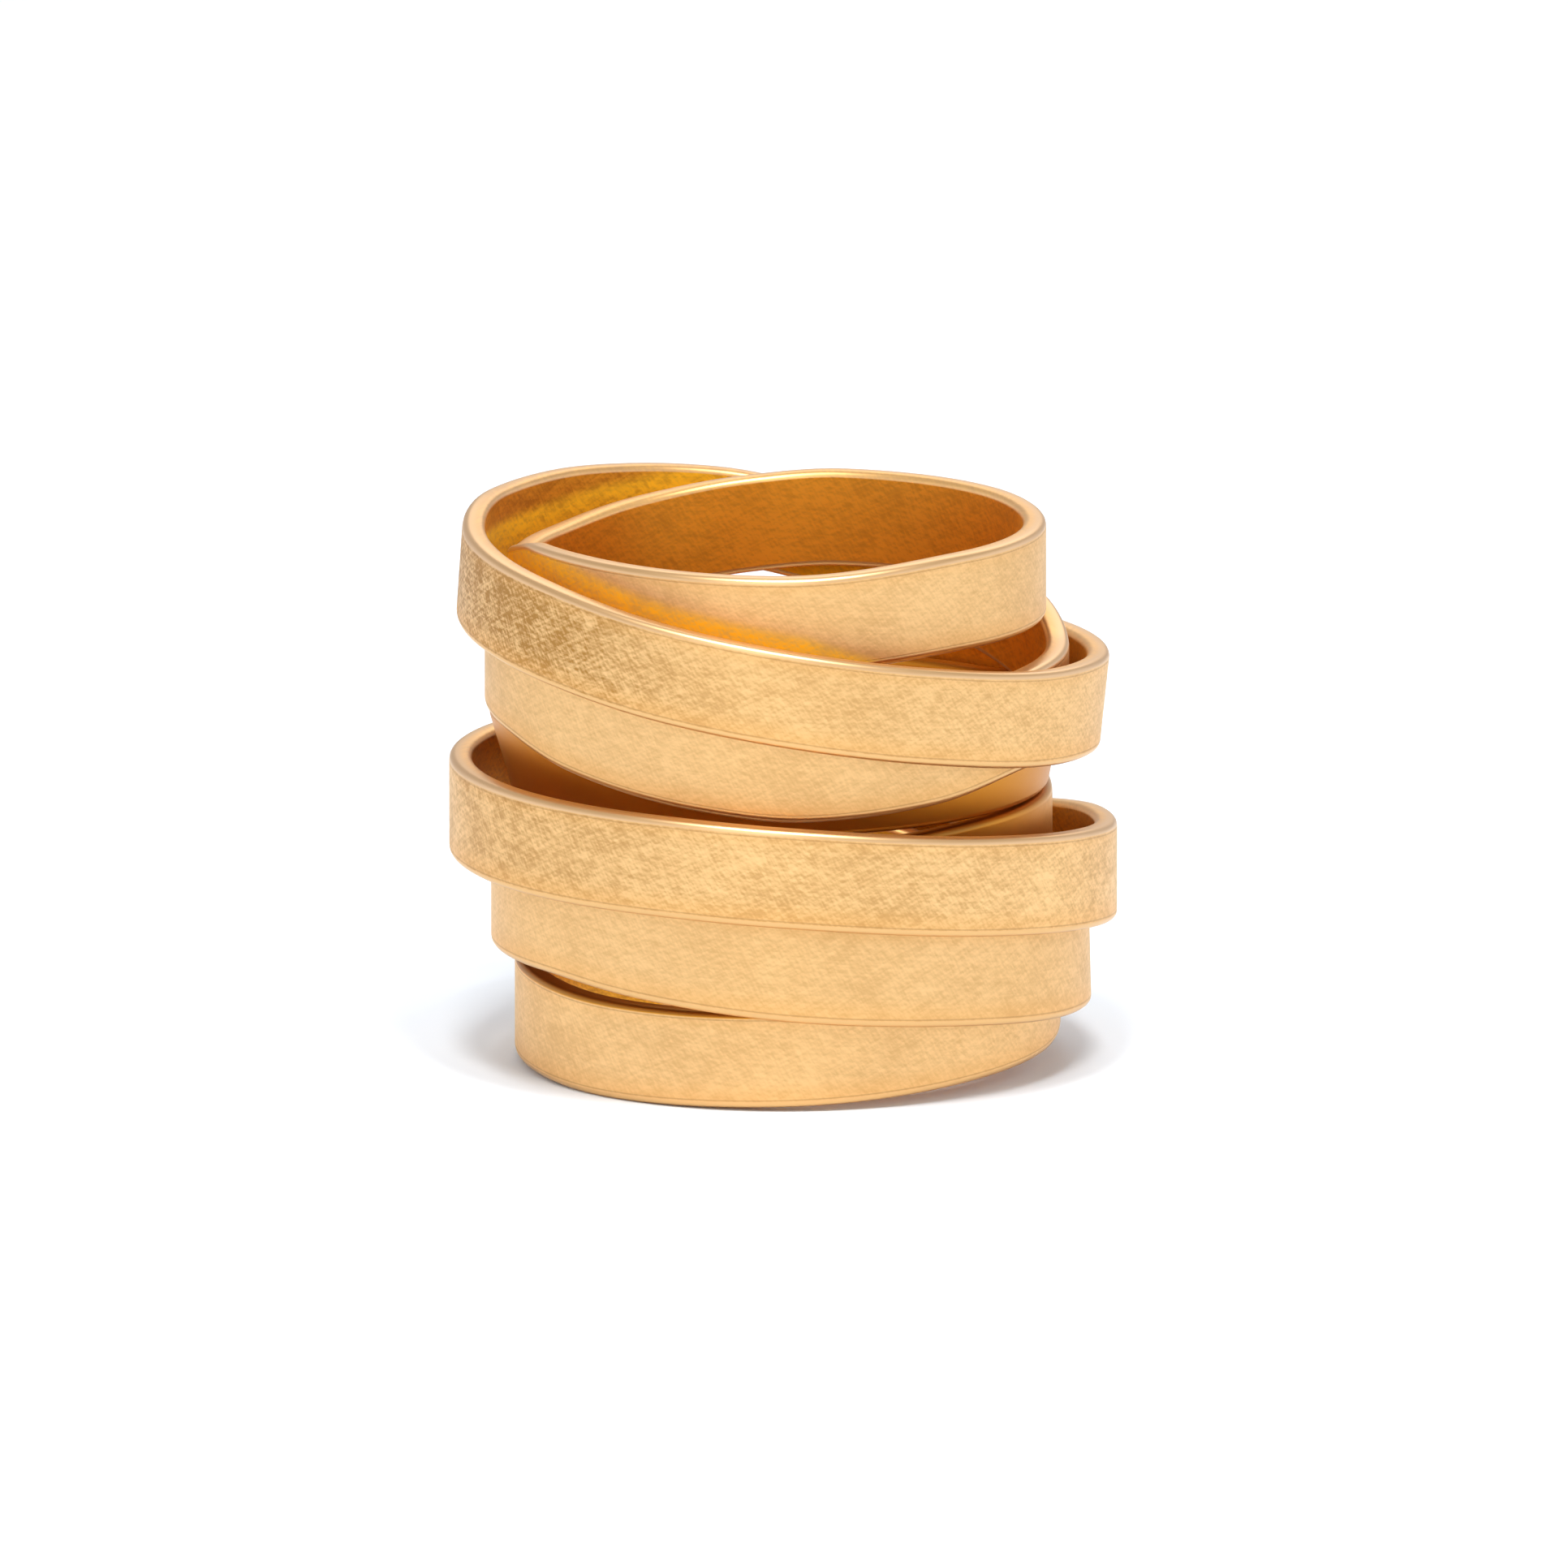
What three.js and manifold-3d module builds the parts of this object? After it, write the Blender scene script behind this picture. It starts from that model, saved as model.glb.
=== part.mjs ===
import * as THREE from 'three';
import { mergeVertices } from 'three/addons/utils/BufferGeometryUtils.js';
import Module from 'manifold-3d';

// Driving dimensions, in millimetres. The strip stands on edge all the way round.
const fingerBore = 16.7;
const stripThickness = 0.8;
const stripWidth = 3.4;
const edgeRound = 0.2;

// Mesh fineness.
const stepsPerTurn = 60;
const degreesPerTurn = 360;

const goldColour = 0xf0c27c;
const goldRoughness = 0.38;

// Every winding is a closed loop of strip, listed by stations along it.
//   turn   degrees from the right, over the front to the left and round the back
//   layer  strip thicknesses between the finger bore and the inner face
//   level  strip widths between the floor and the lower edge
//   lean   strip thicknesses that the upper edge stands outside the lower one
//   wide   height of the strip there, in strip widths
const columns = ['turn', 'layer', 'level', 'lean', 'wide'];

// The top hoop is pointed at the left, where its level drops.
const topHoop = [
  [0, 0.00, 4.63, 0, 1],
  [45, 0.00, 4.63, 0, 1],
  [90, 0.05, 4.53, 0, 1],
  [140, 0.12, 4.55, 0, 1],
  [162, 0.16, 4.52, 0, 1],
  [174, 0.32, 4.41, 0, 1],
  [180, 0.56, 4.34, 0, 1],
  [186, 0.32, 4.31, 0, 1],
  [205, 0.16, 4.30, 0, 1],
  [235, 0.10, 4.42, 0, 1],
  [262, 0.05, 4.56, 0, 1],
  [284, 0.00, 4.64, 0, 1],
  [325, 0.00, 4.65, 0, 1],
];

// Two turns: the wide outer wrap below the top hoop, and the band that shows under it.
const upperWrap = [
  [0, 2.56, 3.26, 0.45, 1],
  [15, 2.56, 3.31, 0.35, 1],
  [33, 2.56, 3.39, 0.25, 1],
  [63, 2.54, 3.63, 0.10, 1],
  [92, 2.54, 3.90, 0, 1],
  [115, 2.55, 4.12, -0.10, 1],
  [137, 2.58, 4.34, -0.20, 1],
  [158, 2.62, 4.50, -0.28, 0.98],
  [180, 2.65, 4.61, -0.28, 0.98],
  [203, 2.72, 4.70, -0.20, 0.98],
  [225, 2.66, 4.69, -0.10, 1],
  [241, 2.64, 4.64, 0, 1],
  [259, 2.40, 4.54, 0, 1],
  [275, 1.95, 4.37, 0, 1],
  [290, 1.45, 4.21, 0, 1],
  [305, 1.06, 4.02, 0, 1],
  [320, 0.94, 3.84, 0, 1],
  [340, 0.98, 3.60, 0, 1],
  [360, 1.00, 3.38, 0, 1],
  [393, 1.12, 3.32, 0, 1],
  [419, 1.20, 3.13, 0, 1],
  [447, 1.28, 3.04, 0, 1],
  [466, 1.34, 3.13, 0, 1],
  [497, 1.44, 3.39, 0, 1],
  [520, 1.52, 3.63, 0, 1],
  [540, 1.55, 3.70, 0, 1],
  [570, 1.57, 3.58, 0, 1],
  [600, 1.75, 3.47, 0, 1],
  [630, 2.20, 3.34, 0, 1],
  [660, 2.50, 3.25, 0.20, 1],
  [692, 2.56, 3.24, 0.40, 1],
];

// The narrow neck between the two wide wraps. It leans in towards its lower edge.
const neckHoop = [
  [0, 0.47, 2.87, 0.80, 1],
  [28, 0.50, 2.87, 0.84, 1],
  [77, 0.66, 2.85, 1.00, 1],
  [130, 0.75, 2.76, 1.16, 1],
  [180, 0.80, 2.68, 1.24, 1],
  [225, 0.78, 2.66, 1.16, 1],
  [270, 0.68, 2.66, 1.00, 1],
  [315, 0.58, 2.68, 0.84, 1],
  [340, 0.48, 2.82, 0.80, 1],
];

// Four turns: the lower outer wrap, an inner turn behind it, the foot, and the band above the foot.
const lowerWrap = [
  [0, 3.10, 1.47, 0, 1.03],
  [25, 3.10, 1.62, 0, 1.03],
  [52, 3.10, 1.80, 0, 1.03],
  [90, 3.10, 2.03, 0, 1.03],
  [115, 3.10, 2.11, 0, 1.03],
  [145, 3.10, 2.14, 0, 1.03],
  [180, 3.10, 2.16, 0, 1.03],
  [209, 3.05, 2.15, 0, 1.03],
  [240, 2.80, 2.11, 0, 1.02],
  [270, 2.40, 2.06, 0, 1],
  [300, 1.90, 1.97, 0, 1],
  [315, 1.38, 1.93, 0, 1],
  [338, 0.66, 1.86, 0, 1],
  [360, 0.28, 1.86, 0, 1],
  [400, 0.26, 1.84, 0, 1],
  [450, 0.24, 1.70, 0, 1],
  [540, 0.22, 1.42, 0, 1],
  [600, 0.22, 1.26, 0, 1],
  [630, 0.24, 1.16, 0, 1],
  [660, 0.32, 0.90, 0, 1],
  [690, 0.50, 0.62, 0, 1],
  [720, 0.64, 0.34, 0, 1],
  [735, 0.66, 0.25, 0, 1],
  [762, 0.58, 0.17, 0, 1],
  [810, 0.44, 0.04, 0, 1],
  [852, 0.32, 0, 0, 1.02],
  [888, 0.26, 0.06, 0, 1.03],
  [900, 0.25, 0.08, 0, 1.03],
  [915, 0.26, 0.02, 0, 1.02],
  [930, 0.32, 0, 0, 1],
  [970, 0.80, 0, 0, 1],
  [1000, 1.40, 0, 0, 1],
  [1015, 1.62, 0.02, 0, 1],
  [1030, 1.78, 0.14, 0, 1],
  [1046, 1.88, 0.36, 0, 1],
  [1062, 1.92, 0.51, 0, 1],
  [1080, 1.93, 0.58, -0.10, 1],
  [1104, 1.90, 0.67, -0.10, 1.04],
  [1136, 1.80, 0.84, -0.05, 1.06],
  [1170, 1.62, 0.99, 0, 1.08],
  [1200, 1.46, 1.14, 0, 1.06],
  [1226, 1.34, 1.24, 0, 1.02],
  [1260, 1.28, 1.22, 0, 1],
  [1285, 1.30, 1.17, 0, 1],
  [1310, 1.50, 1.10, 0, 1],
  [1350, 2.30, 1.02, 0, 1],
  [1380, 2.88, 1.10, 0, 1],
  [1403, 3.08, 1.28, 0, 1.02],
  [1422, 3.10, 1.40, 0, 1.03],
];

function readTable(rows) {
  return rows.map((row) => Object.fromEntries(columns.map((name, k) => [name, row[k]])));
}

// Slope at the middle one of three stations, flat where the values rest or turn back,
// so that no stretch overshoots its stations.
function slopeAt(before, here, after) {
  const arriving = (here.value - before.value) / (here.turn - before.turn);
  const leaving = (after.value - here.value) / (after.turn - here.turn);
  return arriving * leaving > 0 ? 2 * arriving * leaving / (arriving + leaving) : 0;
}

// Smooth value of one column at any turn, through the stations of a closed loop.
function valueAt(stations, length, name, turn) {
  const count = stations.length;
  const station = (k) => {
    const lap = Math.floor(k / count);
    const row = stations[k - lap * count];
    return { turn: row.turn + lap * length, value: row[name] };
  };
  let k = 0;
  while (station(k + 1).turn <= turn) {
    k += 1;
  }
  const [before, start, end, after] = [k - 1, k, k + 1, k + 2].map(station);
  const span = end.turn - start.turn;
  const t = (turn - start.turn) / span;
  const fromStart = 2 * t ** 3 - 3 * t ** 2 + 1;
  const leaving = (t ** 3 - 2 * t ** 2 + t) * span * slopeAt(before, start, end);
  const arriving = (t ** 3 - t ** 2) * span * slopeAt(start, end, after);
  return fromStart * start.value + (1 - fromStart) * end.value + leaving + arriving;
}

// Strip section, closed on itself: outward from the inner face, and up from the lower edge.
function stripSection(width) {
  const cut = edgeRound;
  const outer = stripThickness;
  return [
    [cut, 0], [0, cut], [0, width - cut], [cut, width],
    [outer - cut, width], [outer, width - cut], [outer, cut], [outer - cut, 0], [cut, 0],
  ].map(([out, up]) => new THREE.Vector2(out, up));
}

// A lathed ring of the section, bent to follow the stations over one or more turns.
function windStrip(rows, turns) {
  const stations = readTable(rows);
  const length = turns * degreesPerTurn;
  const steps = turns * stepsPerTurn;
  const corners = stripSection(stripWidth).length;
  const band = new THREE.LatheGeometry(stripSection(stripWidth), steps);
  const place = band.getAttribute('position');
  for (let step = 0; step <= steps; step += 1) {
    const turn = (step % steps) * length / steps;
    const at = (name) => valueAt(stations, length, name, turn);
    const inner = fingerBore / 2 + at('layer') * stripThickness;
    const lower = at('level') * stripWidth;
    const width = at('wide') * stripWidth;
    const lean = at('lean') * stripThickness;
    const angle = -THREE.MathUtils.degToRad(turn);
    stripSection(width).forEach((corner, k) => {
      const radius = inner + corner.x + lean * (corner.y / width - 0.5);
      place.setXYZ(step * corners + k, radius * Math.cos(angle), radius * Math.sin(angle), lower + corner.y);
    });
  }
  band.deleteAttribute('normal');
  band.deleteAttribute('uv');
  return mergeVertices(band);
}

function toSolid(wasm, geometry) {
  return new wasm.Manifold(new wasm.Mesh({
    numProp: 3,
    vertProperties: new Float32Array(geometry.getAttribute('position').array),
    triVerts: new Uint32Array(geometry.getIndex().array),
  }));
}

function toGeometry(solid) {
  const mesh = solid.getMesh();
  const geometry = new THREE.BufferGeometry();
  geometry.setAttribute('position', new THREE.BufferAttribute(mesh.vertProperties, 3));
  geometry.setIndex(new THREE.BufferAttribute(mesh.triVerts, 1));
  geometry.computeVertexNormals();
  return geometry;
}

const wasm = await Module();
wasm.setup();

// The windings are soldered where they touch, so the ring is one solid.
const windings = [windStrip(topHoop, 1), windStrip(upperWrap, 2), windStrip(neckHoop, 1), windStrip(lowerWrap, 4)];
const soldered = windings.map((geometry) => toSolid(wasm, geometry)).reduce((ring, strip) => ring.add(strip));

const gold = new THREE.MeshStandardMaterial({ color: goldColour, roughness: goldRoughness, metalness: 1 });
const woundBand = new THREE.Mesh(toGeometry(soldered), gold);
woundBand.name = 'wound_band';

// The windings stand off the bore unevenly, so the ring is set centred over its footprint.
const reach = new THREE.Box3().setFromObject(woundBand);
const middle = reach.getCenter(new THREE.Vector3());
woundBand.position.set(-middle.x, -middle.y, -reach.min.z);

const ring = new THREE.Group();
ring.add(woundBand);

export default ring;
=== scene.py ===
import math

import bmesh
import bpy
from mathutils import Matrix, Vector


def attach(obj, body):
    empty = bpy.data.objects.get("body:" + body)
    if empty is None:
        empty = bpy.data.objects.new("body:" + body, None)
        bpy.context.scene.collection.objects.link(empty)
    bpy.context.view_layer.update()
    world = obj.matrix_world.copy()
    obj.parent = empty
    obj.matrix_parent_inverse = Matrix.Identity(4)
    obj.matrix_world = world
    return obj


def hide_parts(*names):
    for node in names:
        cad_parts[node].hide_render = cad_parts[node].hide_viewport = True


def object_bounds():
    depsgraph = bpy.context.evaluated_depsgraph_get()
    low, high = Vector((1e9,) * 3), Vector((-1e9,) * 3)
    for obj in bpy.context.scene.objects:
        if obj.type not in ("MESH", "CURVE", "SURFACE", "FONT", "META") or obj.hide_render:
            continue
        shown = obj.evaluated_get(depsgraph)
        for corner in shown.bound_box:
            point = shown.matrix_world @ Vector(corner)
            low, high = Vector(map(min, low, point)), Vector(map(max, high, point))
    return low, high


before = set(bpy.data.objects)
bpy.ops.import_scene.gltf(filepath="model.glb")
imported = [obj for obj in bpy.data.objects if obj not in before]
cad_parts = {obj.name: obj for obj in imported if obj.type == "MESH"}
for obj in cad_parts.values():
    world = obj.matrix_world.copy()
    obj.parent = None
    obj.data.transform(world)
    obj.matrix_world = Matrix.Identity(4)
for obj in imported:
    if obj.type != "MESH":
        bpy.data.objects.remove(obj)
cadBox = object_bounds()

millimetre = 0.001


def say(text):
    print("ring:", text)


# The wound strip. Every winding is a closed loop, listed by stations along it:
# turn in degrees from the right, over the front to the left and round the back,
# layer in strip thicknesses between the bore and the inner face,
# level in strip widths between the floor and the lower edge,
# lean in strip thicknesses that the upper edge stands outside the lower one,
# wide as the strip's height there in strip widths.
windingSettings = {
    "bore": 16.7,
    "thickness": 0.8,
    "width": 3.4,
    "edgeRound": 0.24,
    "edgeSegments": 4,
    "stepsPerTurn": 144,
    "coilRise": 1.5,  # in strip widths a turn, of the plain coil before its sections are moved
    # first and last turn of the stretches deep between the wraps, as smooth as the inner faces and painted
    # dark orange as shade
    "insideTurns": {"neckHoop": (-100, 460), "lowerWrap": (345, 660)},
    # first and last turn of the upper edges that lie in dark crevices, painted with shade there
    "creviceTurns": {"lowerWrap": [(395, 530), (780, 940)]},
    "creviceRim": 0.7,  # in edge roundings below the upper edge
    # stretches that face each other over a narrow groove: the other winding, first and last turn,
    # and how far above that winding's rim the painted glow of the groove reaches, in millimetres
    "grooves": {"topHoop": ("upperWrap", 55, 190, 0.5), "upperWrap": ("topHoop", 85, 300, 0.5)},
    "grooveSink": 1.5,  # in reaches, how far the glow goes down at both ends of a groove
    "noGroove": -10.0,  # where a face looks at no groove
    # degrees over which each kind of stretch fades at its ends
    "insideFade": 40,
    "creviceFade": 20,
    "grooveFade": 30,
    "turns": {"topHoop": 1, "upperWrap": 2, "neckHoop": 1, "lowerWrap": 4},
    "columns": ("turn", "layer", "level", "lean", "wide"),
    "topHoop": [
        (0, 0.00, 4.63, 0, 1), (45, 0.00, 4.63, 0, 1), (90, 0.05, 4.53, 0, 1),
        (140, 0.12, 4.55, 0, 1), (162, 0.16, 4.52, 0, 1), (174, 0.32, 4.41, 0, 1),
        (180, 0.56, 4.34, 0, 1), (186, 0.32, 4.31, 0, 1), (205, 0.16, 4.30, 0, 1),
        (235, 0.10, 4.42, 0, 1), (262, 0.05, 4.56, 0, 1), (284, 0.00, 4.64, 0, 1),
        (325, 0.00, 4.65, 0, 1),
    ],
    "upperWrap": [
        (0, 2.56, 3.26, 0.45, 1), (15, 2.56, 3.31, 0.35, 1), (33, 2.56, 3.39, 0.25, 1),
        (63, 2.54, 3.63, 0.10, 1), (92, 2.54, 3.90, 0, 1), (115, 2.55, 4.12, -0.10, 1),
        (137, 2.58, 4.34, -0.20, 1), (158, 2.62, 4.50, -0.28, 0.98), (180, 2.65, 4.61, -0.28, 0.98),
        (203, 2.72, 4.70, -0.20, 0.98), (225, 2.66, 4.69, -0.10, 1), (241, 2.64, 4.64, 0, 1),
        (259, 2.40, 4.54, 0, 1), (275, 1.95, 4.37, 0, 1), (290, 1.45, 4.21, 0, 1),
        (305, 1.06, 4.02, 0, 1), (320, 0.94, 3.84, 0, 1), (340, 0.98, 3.60, 0, 1),
        (360, 1.00, 3.38, 0, 1), (393, 1.12, 3.32, 0, 1), (419, 1.20, 3.13, 0, 1),
        (447, 1.28, 3.04, 0, 1), (466, 1.34, 3.13, 0, 1), (497, 1.44, 3.39, 0, 1),
        (520, 1.52, 3.63, 0, 1), (540, 1.55, 3.70, 0, 1), (570, 1.57, 3.58, 0, 1),
        (600, 1.75, 3.47, 0, 1), (630, 2.20, 3.34, 0, 1), (660, 2.50, 3.25, 0.20, 1),
        (692, 2.56, 3.24, 0.40, 1),
    ],
    "neckHoop": [
        (0, 0.47, 2.87, 0.80, 1), (28, 0.50, 2.87, 0.84, 1), (77, 0.66, 2.85, 1.00, 1),
        (130, 0.75, 2.76, 1.16, 1), (180, 0.80, 2.68, 1.24, 1), (225, 0.78, 2.66, 1.16, 1),
        (270, 0.68, 2.66, 1.00, 1), (315, 0.58, 2.68, 0.84, 1), (340, 0.48, 2.82, 0.80, 1),
    ],
    "lowerWrap": [
        (0, 3.10, 1.47, 0, 1.03), (25, 3.10, 1.62, 0, 1.03), (52, 3.10, 1.80, 0, 1.03),
        (90, 3.10, 2.03, 0, 1.03), (115, 3.10, 2.11, 0, 1.03), (145, 3.10, 2.14, 0, 1.03),
        (180, 3.10, 2.16, 0, 1.03), (209, 3.05, 2.15, 0, 1.03), (240, 2.80, 2.11, 0, 1.02),
        (270, 2.40, 2.06, 0, 1), (300, 1.90, 1.97, 0, 1), (315, 1.38, 1.93, 0, 1),
        (338, 0.66, 1.86, 0, 1), (360, 0.28, 1.86, 0, 1), (400, 0.26, 1.84, 0, 1),
        (450, 0.24, 1.70, 0, 1), (540, 0.22, 1.42, 0, 1), (600, 0.22, 1.26, 0, 1),
        (630, 0.24, 1.16, 0, 1), (660, 0.32, 0.90, 0, 1), (690, 0.50, 0.62, 0, 1),
        (720, 0.64, 0.34, 0, 1), (735, 0.66, 0.25, 0, 1), (762, 0.58, 0.17, 0, 1),
        (810, 0.44, 0.04, 0, 1), (852, 0.32, 0, 0, 1.02), (888, 0.26, 0.06, 0, 1.03),
        (900, 0.25, 0.08, 0, 1.03), (915, 0.26, 0.02, 0, 1.02), (930, 0.32, 0, 0, 1),
        (970, 0.80, 0, 0, 1), (1000, 1.40, 0, 0, 1), (1015, 1.62, 0.02, 0, 1),
        (1030, 1.78, 0.14, 0, 1), (1046, 1.88, 0.36, 0, 1), (1062, 1.92, 0.51, 0, 1),
        (1080, 1.93, 0.58, -0.10, 1), (1104, 1.90, 0.67, -0.10, 1.04), (1136, 1.80, 0.84, -0.05, 1.06),
        (1170, 1.62, 0.99, 0, 1.08), (1200, 1.46, 1.14, 0, 1.06), (1226, 1.34, 1.24, 0, 1.02),
        (1260, 1.28, 1.22, 0, 1), (1285, 1.30, 1.17, 0, 1), (1310, 1.50, 1.10, 0, 1),
        (1350, 2.30, 1.02, 0, 1), (1380, 2.88, 1.10, 0, 1), (1403, 3.08, 1.28, 0, 1.02),
        (1422, 3.10, 1.40, 0, 1.03),
    ],
}


def slopeAt(before, here, after):
    # flat where the values rest or turn back, so that no stretch overshoots
    arriving = (here[1] - before[1]) / (here[0] - before[0])
    leaving = (after[1] - here[1]) / (after[0] - here[0])
    if arriving * leaving <= 0:
        return 0.0
    return 2 * arriving * leaving / (arriving + leaving)


def valueAt(settings, name, column, turn):
    # smooth value of one column at any turn, through the stations of a closed loop
    stations, place = settings[name], settings["columns"].index(column)

    def station(k):
        lap, row = divmod(k, len(stations))
        return stations[row][0] + lap * 360 * settings["turns"][name], stations[row][place]

    k = 0
    while station(k + 1)[0] <= turn:
        k += 1
    before, start, end, after = (station(n) for n in (k - 1, k, k + 1, k + 2))
    span = end[0] - start[0]
    t = (turn - start[0]) / span
    fromStart = 2 * t ** 3 - 3 * t ** 2 + 1
    leaving = (t ** 3 - 2 * t ** 2 + t) * span * slopeAt(before, start, end)
    arriving = (t ** 3 - t ** 2) * span * slopeAt(start, end, after)
    return fromStart * start[1] + (1 - fromStart) * end[1] + leaving + arriving


def stripSection(bm, settings):
    # one outline of the strip with rounded corners, upright, its inner face on the bore
    bmesh.ops.create_grid(bm, x_segments=1, y_segments=1, size=0.5)
    bmesh.ops.scale(bm, verts=bm.verts, vec=(settings["thickness"], settings["width"], 1))
    bmesh.ops.bevel(
        bm, geom=bm.verts[:], offset=settings["edgeRound"], offset_type="OFFSET", affect="VERTICES",
        segments=settings["edgeSegments"], profile=0.5, material=-1, clamp_overlap=True,
    )
    bmesh.ops.rotate(bm, verts=bm.verts, cent=(0, 0, 0), matrix=Matrix.Rotation(math.pi / 2, 3, "X"))
    out = (settings["bore"] + settings["thickness"]) / 2
    bmesh.ops.translate(bm, verts=bm.verts, vec=(out, 0, settings["width"] / 2))
    bmesh.ops.delete(bm, geom=bm.faces[:], context="FACES_ONLY")


def fadeWithin(turn, first, last, fade):
    # 1 within a stretch, fading to 0 at its ends
    return max(0.0, min(1.0, (turn - first) / fade, (last - turn) / fade))


def insideDepth(name, settings, turn, up):
    # 1 deep between the wraps, and 2 where an upper edge lies in one of the dark crevices; painted shade
    # follows these
    first, last = settings["insideTurns"].get(name, (0, 0))
    inside = fadeWithin(turn, first, last, settings["insideFade"])
    if up > settings["width"] - settings["creviceRim"] * settings["edgeRound"]:
        for first, last in settings["creviceTurns"].get(name, []):
            inside += (2 - inside) * fadeWithin(turn, first, last, settings["creviceFade"])
    return inside


def grooveDepth(name, settings, turn, height):
    # depth below the rim of the facing winding, in reaches, fading out towards both ends of the groove
    if name not in settings["grooves"]:
        return settings["noGroove"]
    other, first, last, reach = settings["grooves"][name]
    if not first < turn < last:
        return settings["noGroove"]
    rim = settings["width"] * (valueAt(settings, other, "level", turn) + 1)
    faded = 1 - fadeWithin(turn, first, last, settings["grooveFade"])
    return (rim - height) / reach - settings["grooveSink"] * faded


def spinCoil(bm, settings, steps):
    # a plain coil of the section, and the step along it that each vertex belongs to
    perTurn = settings["stepsPerTurn"]
    stepAngle = 2 * math.pi / perTurn
    rise = settings["coilRise"] * settings["width"] / perTurn
    slack = 0.1  # millimetres, keeps the lowest vertices of a section in their own lap
    stripSection(bm, settings)
    bmesh.ops.spin(
        bm, geom=bm.verts[:] + bm.edges[:], cent=(0, 0, 0), axis=(0, 0, -1), dvec=(0, 0, rise),
        angle=stepAngle * (steps - 1), steps=steps - 1, use_merge=False, use_duplicate=False,
    )
    stepOf = {}
    for vert in bm.verts:
        inTurn = round(math.atan2(-vert.co.y, vert.co.x) / stepAngle) % perTurn
        lap = math.floor((vert.co.z - inTurn * rise + slack) / (perTurn * rise))
        stepOf[vert] = lap * perTurn + inTurn
    return stepOf, stepAngle, rise


def windStrip(name, settings):
    # the section is spun into a plain coil first, then every section of it is moved to its place
    thickness, width, bore = settings["thickness"], settings["width"], settings["bore"]
    perTurn = settings["stepsPerTurn"]
    steps = settings["turns"][name] * perTurn
    bm = bmesh.new()
    # the finish reads these layers, and paints shade and glow by the last two
    outPlace = bm.verts.layers.float.new("outPlace")
    upPlace = bm.verts.layers.float.new("upPlace")
    innerTurn = bm.verts.layers.float.new("innerTurn")
    groovePlace = bm.verts.layers.float.new("groovePlace")
    stepOf, stepAngle, rise = spinCoil(bm, settings, steps)
    ends = [e for e in bm.edges if {stepOf[v] for v in e.verts} in ({0}, {steps - 1})]
    rowOf = [
        {key: valueAt(settings, name, key, 360 * step / perTurn) for key in settings["columns"][1:]}
        for step in range(steps)
    ]
    for vert, step in stepOf.items():
        at, angle, turn = rowOf[step], -step * stepAngle, 360 * step / perTurn
        out = vert.co.xy.length - bore / 2
        up = vert.co.z - step * rise
        share = up / width
        radius = bore / 2 + out + thickness * (at["layer"] + at["lean"] * (share - 0.5))
        height = width * at["level"] + up
        if share > 0.5:  # a wider stretch of strip keeps its rounded corners
            height += width * (at["wide"] - 1)
        vert[outPlace], vert[upPlace] = out / thickness, up
        vert[innerTurn] = insideDepth(name, settings, turn, up)
        # the top hoop has its outer face to the groove, and the upper wrap its inner one
        facing = (out > thickness / 2) == (name == "topHoop")
        vert[groovePlace] = grooveDepth(name, settings, turn, height) if facing else settings["noGroove"]
        vert.co = (radius * math.cos(angle), radius * math.sin(angle), height)
    bmesh.ops.bridge_loops(bm, edges=ends)
    bmesh.ops.recalc_face_normals(bm, faces=bm.faces[:])
    mesh = bpy.data.meshes.new(name)
    bm.to_mesh(mesh)
    bm.free()
    return mesh


def fitInto(bm, low, high):
    # the whole ring takes the exact box of the solid
    lowest = Vector([min(v.co[k] for v in bm.verts) for k in range(3)])
    highest = Vector([max(v.co[k] for v in bm.verts) for k in range(3)])
    bmesh.ops.translate(bm, verts=bm.verts, vec=-(lowest + highest) / 2)
    size = [(high[k] - low[k]) / (highest[k] - lowest[k]) for k in range(3)]
    bmesh.ops.scale(bm, verts=bm.verts, vec=size)
    bmesh.ops.translate(bm, verts=bm.verts, vec=(Vector(low) + Vector(high)) / 2)
    return size


def makeRing(settings):
    bm = bmesh.new()
    for name in settings["turns"]:
        winding = windStrip(name, settings)
        bm.from_mesh(winding)
        bpy.data.meshes.remove(winding)
    size = fitInto(bm, *cadBox)
    for face in bm.faces:
        face.smooth = True
    mesh = bpy.data.meshes.new("woundBand")
    bm.to_mesh(mesh)
    bm.free()
    ring = bpy.data.objects.new("woundBand", mesh)
    bpy.context.collection.objects.link(ring)
    weighted = ring.modifiers.new("flatFaces", "WEIGHTED_NORMAL")
    weighted.weight = 100
    say(f"{len(mesh.polygons)} faces, fitted by {[round(s / millimetre, 5) for s in size]}")
    return ring


woundBand = makeRing(windingSettings)


class Shade:
    # a socket that numbers and other sockets can be added to, multiplied with and so on
    def __init__(self, bench, socket):
        self.bench, self.socket = bench, socket

    def __add__(self, other):
        return self.bench.maths("ADD", self, other)

    def __radd__(self, other):
        return self.bench.maths("ADD", other, self)

    def __sub__(self, other):
        return self.bench.maths("SUBTRACT", self, other)

    def __rsub__(self, other):
        return self.bench.maths("SUBTRACT", other, self)

    def __mul__(self, other):
        return self.bench.maths("MULTIPLY", self, other)

    def __rmul__(self, other):
        return self.bench.maths("MULTIPLY", other, self)

    def __truediv__(self, other):
        return self.bench.maths("DIVIDE", self, other)

    def __pow__(self, other):
        return self.bench.maths("POWER", self, other)


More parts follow.
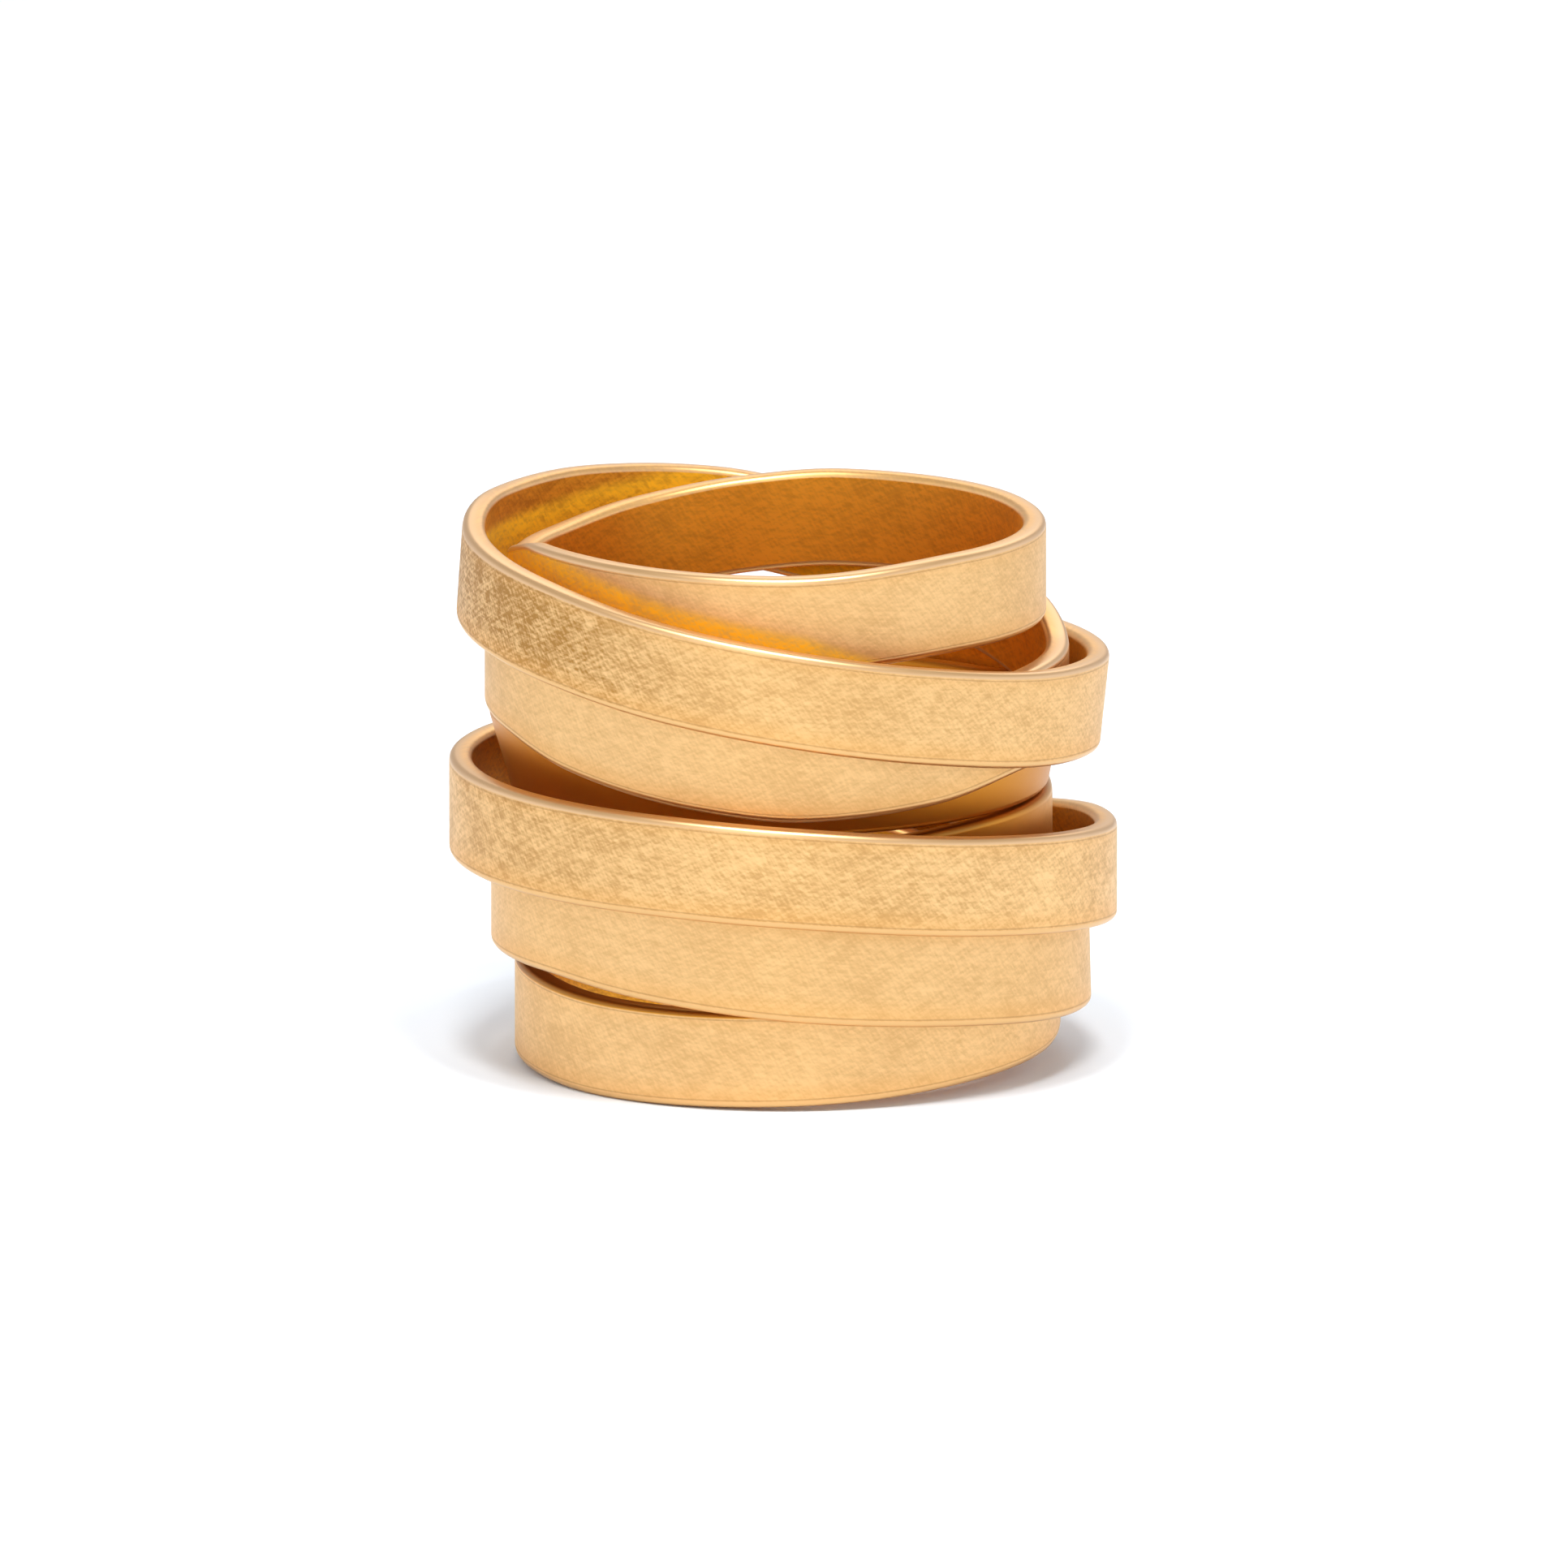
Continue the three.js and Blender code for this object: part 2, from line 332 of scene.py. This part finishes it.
class ShaderBench:
    # the nodes of one material or of the room's light
    def __init__(self, owner):
        owner.use_nodes = True
        self.tree = owner.node_tree

    def fill(self, node, values):
        for key, value in values.items():
            if isinstance(value, Shade):
                self.tree.links.new(value.socket, node.inputs[key])
            else:
                node.inputs[key].default_value = value

    def add(self, kind, settings=None, values=None, output=0):
        # settings go in first, then the values or links of the sockets
        node = self.tree.nodes.new(kind)
        for key, value in (settings or {}).items():
            if key == "stops":
                ramp = node.color_ramp
                while len(ramp.elements) < len(value):
                    ramp.elements.new(1)
                for element, (place, colour) in zip(ramp.elements, value):
                    element.position, element.color = place, colour
            else:
                setattr(node, key, value)
        self.fill(node, values or {})
        return Shade(self, node.outputs[output])

    def maths(self, operation, *values):
        return self.add("ShaderNodeMath", {"operation": operation}, dict(enumerate(values)))

    def between(self, value, low, high):
        # 0 at low, 1 at high, smooth between
        places = {0: value, 1: low, 2: high, 3: 0.0, 4: 1.0}
        return self.add("ShaderNodeMapRange", {"interpolation_type": "SMOOTHSTEP"}, places)

    def blend(self, share, first, second):
        return self.add("ShaderNodeMix", {"data_type": "RGBA"}, {0: share, 6: first, 7: second}, output=2)

    def noise(self, place, scale, detail):
        return self.add("ShaderNodeTexNoise", values={"Vector": place, "Scale": scale, "Detail": detail})

    def axes(self, vector):
        return (self.add("ShaderNodeSeparateXYZ", values={0: vector}, output=axis) for axis in "XYZ")


goldSettings = {
    "colours": {
        "dark": (0.44, 0.22, 0.056, 1),
        "light": (0.90, 0.575, 0.255, 1),
        # painted reflection: the inner faces' deeper orange stands for light bounced between facing gold,
        # and its darker end for painted shade
        "inner": (1.00, 0.51, 0.055, 1),
        "innerDark": (0.55, 0.25, 0.028, 1),
        # painted reflection: the bright glow painted low in the narrow grooves
        "groove": (1.00, 0.61, 0.035, 1),
        # painted shade on upper edges in the crevices
        "paintedCreviceShade": (0.40, 0.17, 0.030, 1),
        # painted shade deep between the wraps
        "deep": (0.60, 0.24, 0.024, 1),
        # painted reflection: the dark line where the brushed wall begins
        "line": (0.42, 0.22, 0.08, 1),
        # painted: darker tans on the polished roundings dim their reflections
        "edge": (0.80, 0.52, 0.28, 1),
        "lowEdge": (0.72, 0.43, 0.17, 1),
        # painted shade and reflection: a warmer orange near the edges of each strip
        "paintedWarmShade": (0.80, 0.40, 0.11, 1),
    },
    # how much of a colour goes over the others where its zone is full
    "shares": {"warmLow": 0.30, "warmTop": 0.15, "edge": 0.6, "lowEdge": 0.8, "line": 0.5},
    "roughness": {"wall": 0.50, "inner": 0.40, "groove": 0.85, "edge": 0.36, "marks": 0.12},
    # strokes across and along themselves per metre, and their slant in degrees
    "strokes": [(10400, 1500, -34), (9600, 1200, 24), (10900, 1800, -62), (10000, 1100, -4)],
    "strokeChange": 900,  # per metre of radius, so that no two layers look alike
    "strokeStart": 0.5,  # metres along the pattern, where the strokes of the back begin
    "strokeBump": 0.30,
    "strokeHeight": 0.00002,
    "lineHeight": 0.5,  # how deep the line at an edge goes, beside the strokes
    # size per metre and detail of the softer patterns, then what each pattern counts in the tone
    "mottle": (2600.0, 3.0),
    "cloud": (380.0, 2.0),
    "toneWeights": {"strokes": 2.0, "mottle": 0.25, "cloud": 0.45},
    "toneReach": 0.36,  # either way from the middle to full dark and full light
    # strength of the brushing, and what is added to it on some walls, at all heights and at the top
    "brushing": {"everywhere": 0.32, "outermost": (0.20, -0.10), "left": (0.05, 0.65)},
    "brushingLost": 0.6,  # on the inner faces
    # share of the light colour on the walls, what the marks add to it and what some walls lose as painted
    # shade
    "walls": {"light": 0.70, "marks": 1.1, "left": (0.05, 0.30), "shadeOffRight": 0.10},
    # the same of the inner colour on the inner faces, with the painted shade near the foot and above a
    # groove, and of the groove's painted glow
    "innerFaces": {"light": 0.80, "marks": 0.7, "foot": 0.5, "paintedShadeOverGroove": 0.55},
    "glow": {"light": 0.8, "marks": 0.6},
    # line where the brushed wall begins, a dent in the bump painted dark as a dark reflection, in
    # millimetres from the edge, and its width
    "line": (0.28, 0.045),
    # where each zone begins and where it is full
    "zones": {
        # in strip thicknesses from the inner face
        "offInnerFace": (0.3, 0.7),
        "outerFace": (0.92, 1.0),
        # in millimetres from an edge
        "offRounding": (0.19, 0.25),
        "offLowEdge": (0.3, 1.1),
        "offTopEdge": (0.3, 0.8),
        # by what the winding wrote in its layers
        "deep": (0.0, 1.0),
        "paintedCreviceShade": (1.0, 1.6),
        "glow": (-1.0, 0.15),
        "paintedShadeOverGroove": (-9.0, -6.0),
        # in metres: by radius, to the right, to the back and upwards
        "outermost": (0.0105, 0.0110),
        "offLeft": (-0.0105, -0.0010),
        "right": (0.002, 0.009),
        "back": (0.002, 0.004),
        "upper": (0.009, 0.014),
        "offFoot": (0.0005, 0.005),
    },
}


def brushedTone(bench, settings, place, radius):
    # slanted strokes laid over each other, with a mottle and a cloud, from -0.5 dark to 0.5 light
    x, y, z = bench.axes(place)

    def strokesOver(along):
        lines = []
        for across, length, slant in settings["strokes"]:
            turn = math.radians(slant)
            u = along * math.cos(turn) + z * math.sin(turn)
            v = z * math.cos(turn) - along * math.sin(turn)
            layer = radius * settings["strokeChange"] + slant
            spot = bench.add("ShaderNodeCombineXYZ", values={0: u * length, 1: v * across, 2: layer})
            lines.append(bench.noise(spot, 1.0, 1.0))
        return sum(lines) / len(lines)

    # length round the ring, once with its seam at the back and once at the front
    roundFront = bench.maths("ARCTAN2", x, 0 - y) * radius
    roundBack = bench.maths("ARCTAN2", x, y) * radius + settings["strokeStart"]
    toBack = bench.between(y, *settings["zones"]["back"])
    sides = {0: toBack, 2: strokesOver(roundFront), 3: strokesOver(roundBack)}
    strokes = bench.add("ShaderNodeMix", {"data_type": "FLOAT"}, sides)
    mottle = bench.noise(place, *settings["mottle"])
    cloud = bench.noise(place, *settings["cloud"])
    weights, reach = settings["toneWeights"], settings["toneReach"]
    pattern = (strokes - 0.5) * weights["strokes"] + (mottle - 0.5) * weights["mottle"]
    return bench.between(pattern + (cloud - 0.5) * weights["cloud"], -reach, reach) - 0.5


def makeGold(settings):
    material = bpy.data.materials.new("brushedGold")
    bench = ShaderBench(material)
    colours, shares, rough = settings["colours"], settings["shares"], settings["roughness"]

    def stripPlace(name):
        return bench.add("ShaderNodeAttribute", {"attribute_name": name}, output="Fac")

    def zone(name, value):
        return bench.between(value, *settings["zones"][name])

    place = bench.add("ShaderNodeTexCoord", output="Object")
    x, y, z = bench.axes(place)
    radius = (x * x + y * y) ** 0.5
    out, up = stripPlace("outPlace"), stripPlace("upPlace")
    turned, groove = stripPlace("innerTurn"), stripPlace("groovePlace")
    fromTop = windingSettings["width"] - up
    fromEdge = bench.maths("MINIMUM", up, fromTop)

    deep, paintedCreviceShade = zone("deep", turned), zone("paintedCreviceShade", turned)
    inner = bench.maths("MAXIMUM", deep, 1 - zone("offInnerFace", out))
    polished = 1 - zone("offRounding", fromEdge)
    lowEdge = 1 - zone("offRounding", up)
    lineAt, lineWidth = settings["line"]
    awayFromLine = bench.maths("ABSOLUTE", fromEdge - lineAt)
    # a dent in the bump, painted dark as a dark reflection
    line = zone("outerFace", out) * (1 - deep) * (1 - bench.between(awayFromLine, 0.0, lineWidth))

    # the wide wraps stand out furthest and are brushed hardest, most of all at the upper left
    outermost, upper = zone("outermost", radius), zone("upper", z)
    left = outermost * (1 - zone("offLeft", x))
    shadeOffRight = outermost * (1 - zone("right", x))

    def rising(level, more):
        return level + upper * more

    brushing, walls = settings["brushing"], settings["walls"]
    hardness = (brushing["everywhere"] + outermost * rising(*brushing["outermost"])
                + left * rising(*brushing["left"]))
    tone = brushedTone(bench, settings, place, radius)
    brushed = (1 - polished) * (1 - inner * settings["brushingLost"])
    marks = tone * hardness * brushed
    # painted shade: the outermost wraps darker away from the right, most of all at the upper left
    paintedSideShade = (left * rising(*walls["left"]) + shadeOffRight * walls["shadeOffRight"]) * brushed
    colour = bench.blend(walls["light"] + marks * walls["marks"] - paintedSideShade, colours["dark"], colours["light"])

    faces, glowing = settings["innerFaces"], settings["glow"]
    # painted reflection on the inner faces, darkened as painted shade towards the foot and above a groove
    innerShare = (faces["light"] + tone * faces["marks"] - (1 - zone("offFoot", z)) * faces["foot"]
                  - zone("paintedShadeOverGroove", groove) * faces["paintedShadeOverGroove"])
    paintedInnerReflection = bench.blend(innerShare, colours["innerDark"], colours["inner"])
    # painted reflection: a glow painted low in the grooves, for the light bounced between the facing walls
    glow = zone("glow", groove) * (1 - polished) * (glowing["light"] + tone * glowing["marks"])
    # painted shade and reflection: warmer orange near the lower and upper edges of each strip
    paintedWarmShade = ((1 - zone("offLowEdge", up)) * shares["warmLow"]
            + (1 - zone("offTopEdge", fromTop)) * shares["warmTop"])
    # each colour goes over those before it
    layers = [
        (paintedWarmShade, colours["paintedWarmShade"]),
        (inner, paintedInnerReflection),
        # painted shade on the stretches deep between the wraps
        (deep, colours["deep"]),
        # painted shade, near black, on upper edges in the crevices
        (paintedCreviceShade, colours["paintedCreviceShade"]),
        # painted: the polished roundings take darker tans that dim their reflections, the lower ones of the
        # floor
        (polished * (1 - deep) * shares["edge"], colours["edge"]),
        (lowEdge * (1 - deep) * shares["lowEdge"], colours["lowEdge"]),
        (line * shares["line"], colours["line"]),
        (glow, colours["groove"]),
    ]
    for share, over in layers:
        colour = bench.blend(share, colour, over)

    roughness = (rough["wall"] - marks * rough["marks"]
                 + inner * (rough["inner"] - rough["wall"])
                 + glow * (rough["groove"] - rough["wall"])
                 + polished * (1 - inner) * (rough["edge"] - rough["wall"]))
    bump = bench.add("ShaderNodeBump", values={
        "Strength": settings["strokeBump"],
        "Distance": settings["strokeHeight"],
        "Height": marks - line * settings["lineHeight"],
    })
    bench.fill(material.node_tree.nodes["Principled BSDF"], {
        "Base Color": colour, "Roughness": roughness, "Normal": bump, "Metallic": 1.0,
    })
    return material


woundBand.data.materials.append(makeGold(goldSettings))
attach(woundBand, "root")
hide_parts("wound_band")
say("finish on")

studioSettings = {
    "floorColour": (0.87, 0.93, 0.985, 1),
    "floorRoughness": 0.6,
    "floorWidth": 3.0,
    # height of a direction, and the grey that the room has there
    "sky": [(0.0, 1.06), (0.3, 0.92), (0.7, 0.60), (1.0, 0.50)],
    "backColour": (0.60, 0.60, 0.61, 1),
    "backFade": (0.0, 0.8),
    "sideColour": (1.16, 1.28, 1.64, 1),
    "sideShare": 0.9,
    "sideFade": (0.1, 0.7),
    "sideTopFade": (0.1, 0.6),
    "lamps": [
        # place, aim, width, power
        ((-0.030, -0.15, 0.37), (0, 0, 0.01), 0.07, 0.65),
        ((0.065, -0.15, 0.37), (0, 0, 0.01), 0.07, 0.65),
        ((-0.06, -0.40, 0.20), (0, 0, 0.01), 0.25, 0.20),
        ((0.05, 0.30, 0.26), (0, 0, 0.01), 0.30, 0.25),
    ],
}


def lookAlong(thing, direction):
    # lamps and cameras look along their own -Z
    thing.rotation_mode = "QUATERNION"
    thing.rotation_quaternion = direction.to_track_quat("-Z", "Y")


def makeFloor(settings):
    bpy.ops.mesh.primitive_plane_add(size=settings["floorWidth"], location=(0, 0, 0))
    floor = bpy.context.object
    floor.name = "floor"
    material = bpy.data.materials.new("paleFloor")
    bench = ShaderBench(material)
    bench.fill(material.node_tree.nodes["Principled BSDF"], {
        "Base Color": settings["floorColour"], "Roughness": settings["floorRoughness"],
    })
    floor.data.materials.append(material)


def makeRoomLight(settings):
    world = bpy.data.worlds.new("studio")
    bpy.context.scene.world = world
    bench = ShaderBench(world)
    across, back, up = bench.axes(bench.add("ShaderNodeTexCoord", output="Generated"))
    stops = [(place, (grey, grey, grey, 1)) for place, grey in settings["sky"]]
    light = bench.add("ShaderNodeValToRGB", {"stops": stops}, {0: up})
    atBack = bench.between(back, *settings["backFade"])
    atSide = bench.between(across * across, *settings["sideFade"])
    atSide = atSide * (1 - bench.between(up, *settings["sideTopFade"])) * settings["sideShare"]
    light = bench.blend(atBack, light, settings["backColour"])
    light = bench.blend(atSide, light, settings["sideColour"])
    bench.fill(world.node_tree.nodes["Background"], {"Color": light})


def makeLamps(settings):
    for place, aim, width, power in settings["lamps"]:
        data = bpy.data.lights.new("softbox", "AREA")
        data.shape, data.size, data.energy = "DISK", width, power
        lamp = bpy.data.objects.new("softbox", data)
        bpy.context.collection.objects.link(lamp)
        lamp.location = place
        lookAlong(lamp, Vector(aim) - Vector(place))


cameraSettings = {
    "aim": (0.000028, 0, 0.009743),
    "elevation": 11.54,
    "distance": 2.0,
    "frameWidth": 0.05458,
    "sensorWidth": 36,
    "clip": (0.1, 10),
}


def makeCamera(settings):
    data = bpy.data.cameras.new("camera")
    data.sensor_width = settings["sensorWidth"]
    data.lens = settings["sensorWidth"] * settings["distance"] / settings["frameWidth"]
    data.clip_start, data.clip_end = settings["clip"]
    camera = bpy.data.objects.new("camera", data)
    bpy.context.collection.objects.link(camera)
    lift = math.radians(settings["elevation"])
    back = Vector((0, -math.cos(lift), math.sin(lift)))
    camera.location = Vector(settings["aim"]) + back * settings["distance"]
    lookAlong(camera, -back)
    bpy.context.scene.camera = camera


makeFloor(studioSettings)
makeRoomLight(studioSettings)
makeLamps(studioSettings)
bpy.context.scene.view_settings.view_transform = "Standard"
makeCamera(cameraSettings)
say("studio and camera up")
